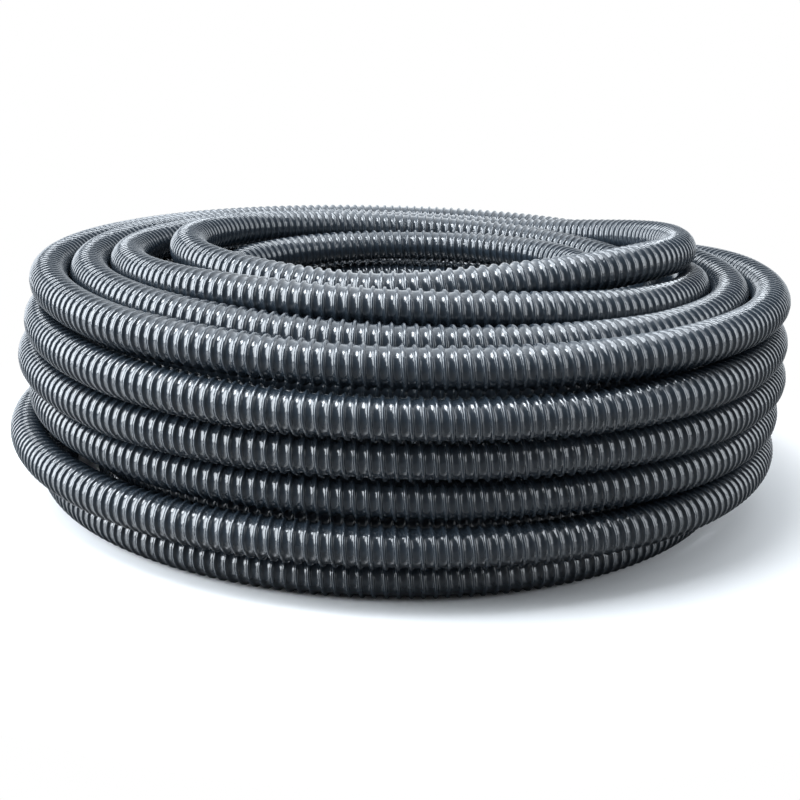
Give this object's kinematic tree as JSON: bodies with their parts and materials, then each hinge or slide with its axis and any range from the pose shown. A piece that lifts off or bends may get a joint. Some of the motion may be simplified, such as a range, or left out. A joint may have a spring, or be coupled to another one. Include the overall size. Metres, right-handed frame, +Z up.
{
  "type": "coiled waste water hose",
  "caption": "Spiral-ribbed flexible plastic waste water hose for a caravan, wound into one free-standing coil, with both ends bare and open.",
  "frame": {"origin": "middle of the coil on the ground that it stands on", "axes": "+Z up along the axis of the coil; -Y towards the front; the outer end leaves the coil at the right, along +Y"},
  "size_m": [0.6187, 0.6144, 0.2023],
  "materials": {
    "hose": "glossy dark blue-grey flexible PVC with a raised rigid spiral rib"
  },
  "bodies": {
    "root": {"coil": "hose", "outer_end": "hose", "inner_end": "hose"}
  },
  "joints": []
}
